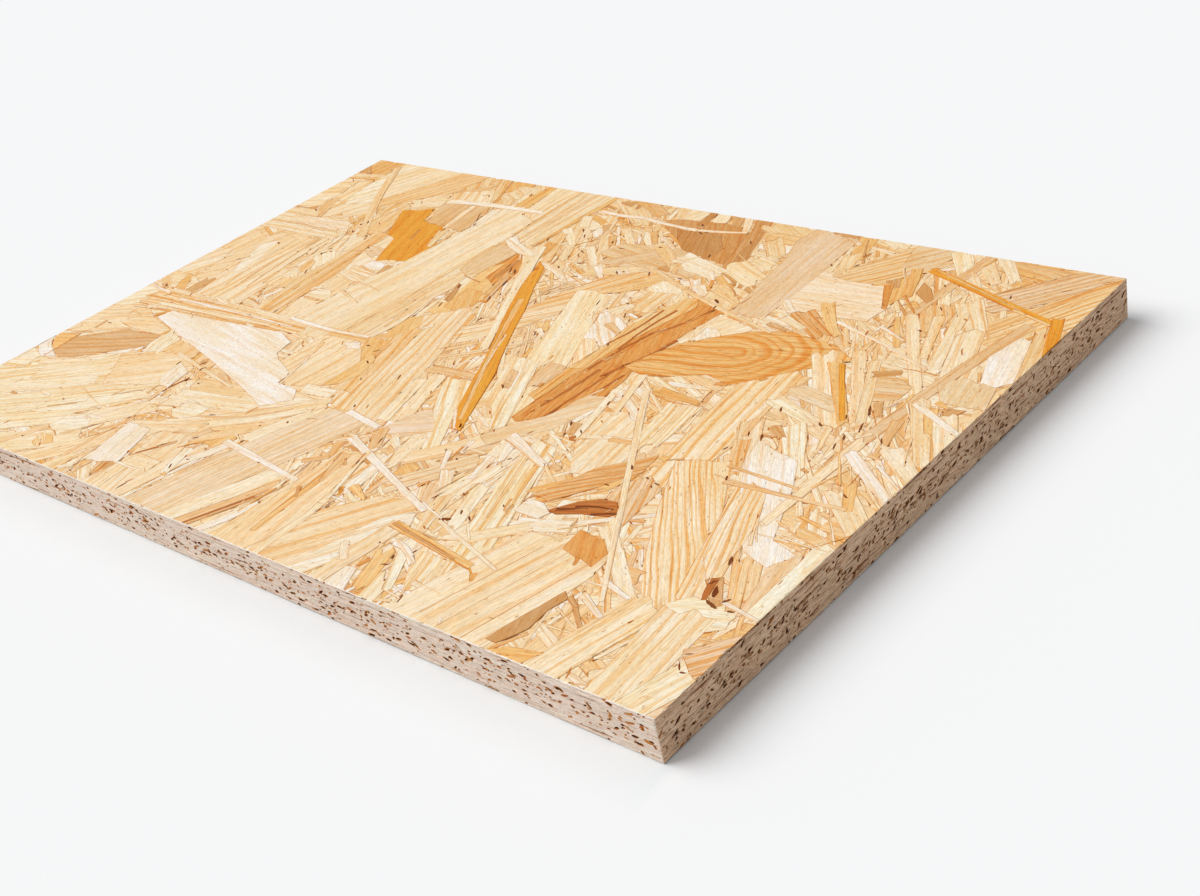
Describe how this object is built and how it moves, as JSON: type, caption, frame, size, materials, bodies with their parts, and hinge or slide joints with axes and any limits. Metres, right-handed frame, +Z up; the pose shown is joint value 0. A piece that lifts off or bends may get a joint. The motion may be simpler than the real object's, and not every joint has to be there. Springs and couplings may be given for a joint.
{
  "type": "osb board",
  "caption": "Cut rectangular panel of oriented strand board: a flat slab of pressed wood strands with square sawn edges.",
  "frame": {"origin": "middle of the underside, on the surface that the board lies on", "axes": "+X along the long side, +Y along the short side, +Z up through the thickness"},
  "size_m": [0.45, 0.3, 0.018],
  "materials": {
    "strand_board": "unfinished pressed wood strands, matt"
  },
  "bodies": {
    "root": {"board": "strand_board"}
  },
  "joints": []
}
